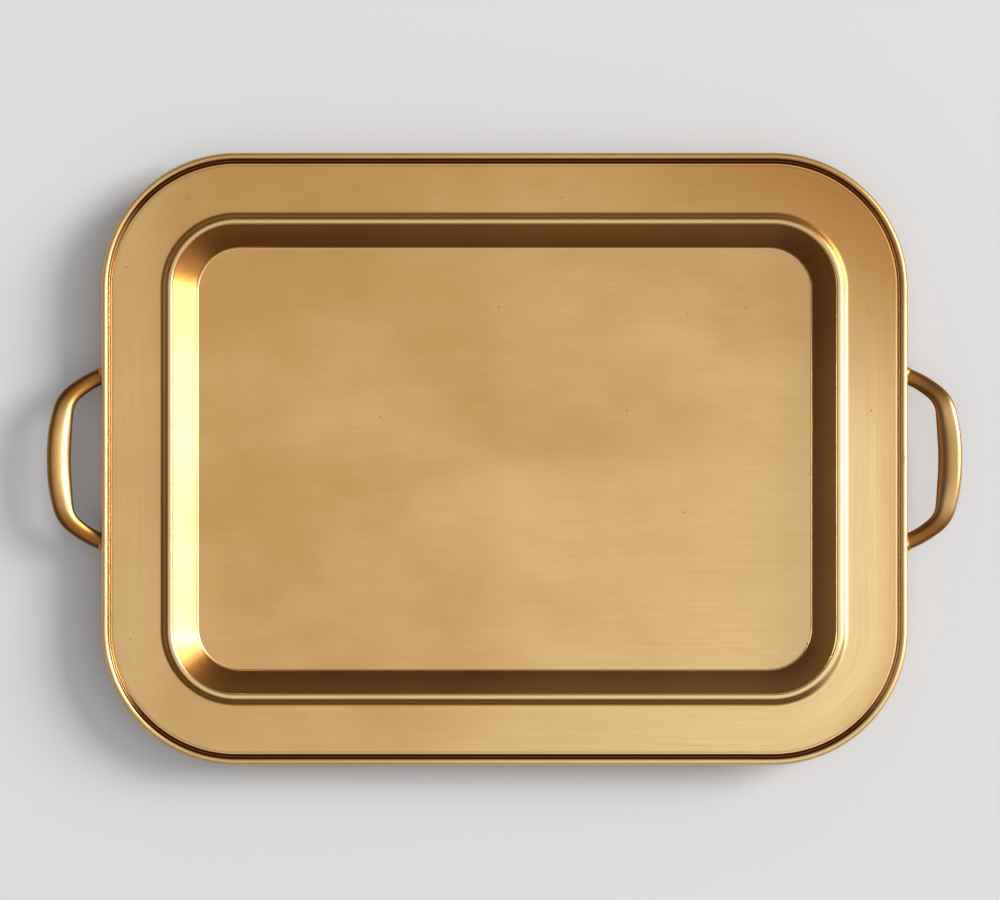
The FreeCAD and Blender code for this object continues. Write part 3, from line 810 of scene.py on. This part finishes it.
pan.data.materials.append(panFinish(brassLook, panLook))
pan.data.materials.append(undersideFinish(brassLook, undersideLook))
castBrass, brazeMetal = castFinish(brassLook, castLook), brazeFinish(brassLook, brazeLook)
for piece in grips:
    piece.data.materials.clear()
    piece.data.materials.append(castBrass)
for piece in brazes:
    piece.data.materials.append(brazeMetal)
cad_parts["rim_wire"].material_slots[0].material = wireFinish(wireLook)
print("finishes", sorted(item.name for item in bpy.data.materials))

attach(pan, "root")
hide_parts("tray_pan")
for grip, braze, hand in zip(grips, brazes, ("right", "left")):
    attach(grip, "root")
    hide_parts(hand + "_handle")
    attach(braze, "root")
    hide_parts(hand + "_handle_braze")


studio = {                           # metres and watts
    "cameraPlace": (-0.003, 0.006),
    "cameraHeight": 2.0,             # above the flange
    "viewWidth": 0.669,              # across the picture, at the flange
    "sensorWidth": 36.0,             # millimetres
    "key": {"place": (13.0, 4.4, 8.84), "size": (7.0, 8.0), "power": 2250.0},
    "sheen": {"place": (11.8, 1.6, 10.7), "size": (6.0, 4.0), "power": 850.0},    # in the brass only
    "backdrop": (0.77, 0.77, 0.773, 1),
    "backdropRoughness": 0.9,
    "backdropHalf": 4.0,             # half of its side
    "backdropDrop": 0.0003,          # below the tray's foot
}
# brightness of the room; the edges are places on a unit sphere round the tray
roomLight = {
    "walls": 0.15,
    "ceiling": 0.87,
    "ceilingEdge": (0.72, 0.95),
    "ceilingLean": (0.10, -0.10),    # how far it reaches down on the right and at the back
    "left": (-0.97, -0.8, 0.3, 0.0),     # more on the far left
    "glow": 0.55,                    # of the ceiling and wall round the key
    "glowRight": (0.3, 0.7),
    "glowUp": (0.4, 0.6),
    "horizon": (0.35, 0.6, 0.28, 0.0),   # more low down
}


def areaLight(name, setup):
    data = bpy.data.lights.new(name, "AREA")
    data.shape = "RECTANGLE"
    data.size, data.size_y = setup["size"]
    data.energy = setup["power"]
    light = bpy.data.objects.new(name, data)
    bpy.context.collection.objects.link(light)
    light.location = setup["place"]
    light.rotation_euler = Vector(setup["place"]).to_track_quat("Z", "Y").to_euler()
    light.visible_camera = False
    return light


def makeBackdrop(setup):
    mesh = bmesh.new()
    bmesh.ops.create_grid(mesh, x_segments=1, y_segments=1, size=setup["backdropHalf"])
    bmesh.ops.translate(mesh, vec=(0, 0, -setup["backdropDrop"]), verts=mesh.verts)
    floor = finishPiece(mesh, "paleFloor")
    paper = Finish("palePaper")
    floor.data.materials.append(paper.surface(
        Base_Color=setup["backdrop"], Roughness=setup["backdropRoughness"]))


def makeRoom(setup):
    world = bpy.data.worlds.new("softRoom")
    bpy.context.scene.world = world
    world.use_nodes = True
    room = Graph(world.node_tree)
    x, y, z = room.split(room.add("ShaderNodeTexCoord", output="Generated"))
    leanRight, leanBack = setup["ceilingLean"]
    ceiling = room.ramp(z + x * leanRight + y * leanBack, *setup["ceilingEdge"])
    glow = room.ramp(x, *setup["glowRight"]) * room.ramp(z, *setup["glowUp"]) * setup["glow"]
    light = setup["walls"] + ceiling * (setup["ceiling"] - setup["walls"]) + glow
    light = light + room.ramp(x, *setup["left"]) + room.ramp(z, *setup["horizon"])
    room.feed(world.node_tree.nodes["Background"].inputs["Color"], light)


def makeCamera(setup):
    flange = (panShape["gauge"] + panShape["wellDepth"] - panShape["crestRise"]) * mm
    lens = bpy.data.cameras.new("overhead")
    lens.sensor_width = setup["sensorWidth"]
    lens.lens = setup["sensorWidth"] * setup["cameraHeight"] / setup["viewWidth"]
    camera = bpy.data.objects.new("overhead", lens)
    bpy.context.collection.objects.link(camera)
    camera.location = (*setup["cameraPlace"], flange + setup["cameraHeight"])
    bpy.context.scene.camera = camera


areaLight("keyPanel", studio["key"])
areaLight("sheenPanel", studio["sheen"]).visible_diffuse = False
makeBackdrop(studio)
makeRoom(roomLight)
makeCamera(studio)
bpy.context.scene.view_settings.view_transform = "Standard"
print("studio")
